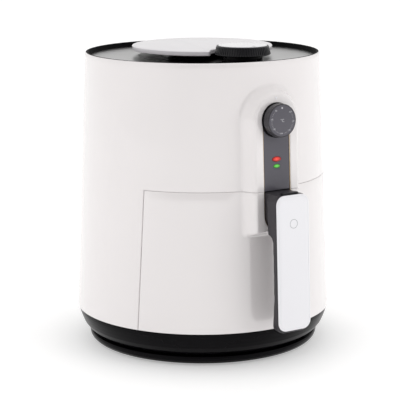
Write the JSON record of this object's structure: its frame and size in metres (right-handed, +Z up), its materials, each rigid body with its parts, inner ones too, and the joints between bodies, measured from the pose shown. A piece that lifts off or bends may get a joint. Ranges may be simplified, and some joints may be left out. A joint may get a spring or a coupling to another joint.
{
  "type": "hot-air fryer",
  "caption": "Round tapered hot-air fryer with a pull-out drawer, front handle, lid timer knob and temperature knob on a raised strip",
  "frame": {"origin": "middle of the bounding box's lower face, on the surface that the fryer stands on", "axes": "+Z up, front with the handle towards -Y, +X to the right hand of somebody facing the front"},
  "size_m": [0.2718, 0.3086, 0.3211],
  "materials": {
    "white_shell": "smooth semi-gloss",
    "white_trim": "smooth gloss",
    "gloss_black": "polished",
    "panel_grey": "satin gloss",
    "dark_grip": "fine grain",
    "black_plastic": "fine grain",
    "red_lens": "clear tinted",
    "green_lens": "clear tinted",
    "bronze_trim": "brushed",
    "bright_steel": "brushed",
    "dark_steel": "matt",
    "non_stick": "fine speckled non-stick coating",
    "foot_rubber": "matt"
  },
  "bodies": {
    "housing": {"outer_housing": "white_shell", "top_disc": "white_shell", "terminal_block": "white_trim", "top_cover": "gloss_black", "disc_hub": "gloss_black", "knob_bezel": "gloss_black", "timer_bezel": "gloss_black", "base_skirt": "gloss_black", "foot_ring": "gloss_black", "control_panel": "panel_grey", "rear_vent": "black_plastic", "thermostat_body": "black_plastic", "timer_body": "black_plastic", "thermal_fuse": "black_plastic", "drawer_rail_left": "black_plastic", "drawer_rail_right": "black_plastic", "door_switch": "black_plastic", "cord_gland": "black_plastic", "red_indicator": "red_lens", "green_indicator": "green_lens", "panel_trim": "bronze_trim", "motor": "bright_steel", "motor_bracket": "bright_steel", "heater_reflector": "bright_steel", "heater_guard": "bright_steel", "inner_chamber": "bright_steel", "base_screw_1": "bright_steel", "base_screw_2": "bright_steel", "base_screw_3": "bright_steel", "heating_element": "dark_steel", "bulkhead_ring": "dark_steel", "base_deck": "dark_steel", "rubber_foot_back_right": "foot_rubber", "rubber_foot_back_left": "foot_rubber", "rubber_foot_front_left": "foot_rubber", "rubber_foot_front_right": "foot_rubber"},
    "drawer": {"drawer_front": "white_shell", "drawer_collar": "black_plastic", "drawer_floor": "black_plastic", "drawer_liner": "black_plastic", "drawer_pan": "non_stick", "fry_basket": "non_stick", "basket_bracket": "bright_steel", "handle_screw_left": "bright_steel", "handle_screw_right": "bright_steel", "handle_core": "dark_grip", "handle_cover": "white_trim", "neck_trim": "bronze_trim", "release_spring": "bright_steel"},
    "release_button": {"release_button": "black_plastic"},
    "temperature_knob": {"temperature_knob": "panel_grey", "temperature_shaft": "bright_steel"},
    "timer_knob": {"timer_knob": "black_plastic", "timer_cap": "white_trim", "timer_shaft": "bright_steel"},
    "fan_rotor": {"motor_shaft": "bright_steel", "hot_air_fan": "bright_steel", "cooling_fan": "dark_steel"}
  },
  "joints": [
    {"name": "drawer_slide", "type": "slide", "parent": "housing", "child": "drawer", "axis": [0, -1, 0], "range_m": [0, 0.25]},
    {"name": "release_press", "type": "slide", "parent": "drawer", "child": "release_button", "axis": [0, 0, -1], "range_m": [0, 0.003], "stiffness_N_per_m": 600, "springref_m": -0.001, "deforming": ["release_spring"]},
    {"name": "temperature_turn", "type": "hinge", "parent": "housing", "child": "temperature_knob", "pos_m": [0, -0.11854, 0.252], "axis": [0, 0.999, -0.045], "range_deg": [0, 270]},
    {"name": "timer_turn", "type": "hinge", "parent": "housing", "child": "timer_knob", "pos_m": [0, -0.05837, 0.316], "axis": [0, 0, -1], "range_deg": [0, 300]},
    {"name": "fan_spin", "type": "hinge", "parent": "housing", "child": "fan_rotor", "pos_m": [0, 0.01833, 0.2], "axis": [0, 0, 1], "continuous": true}
  ]
}
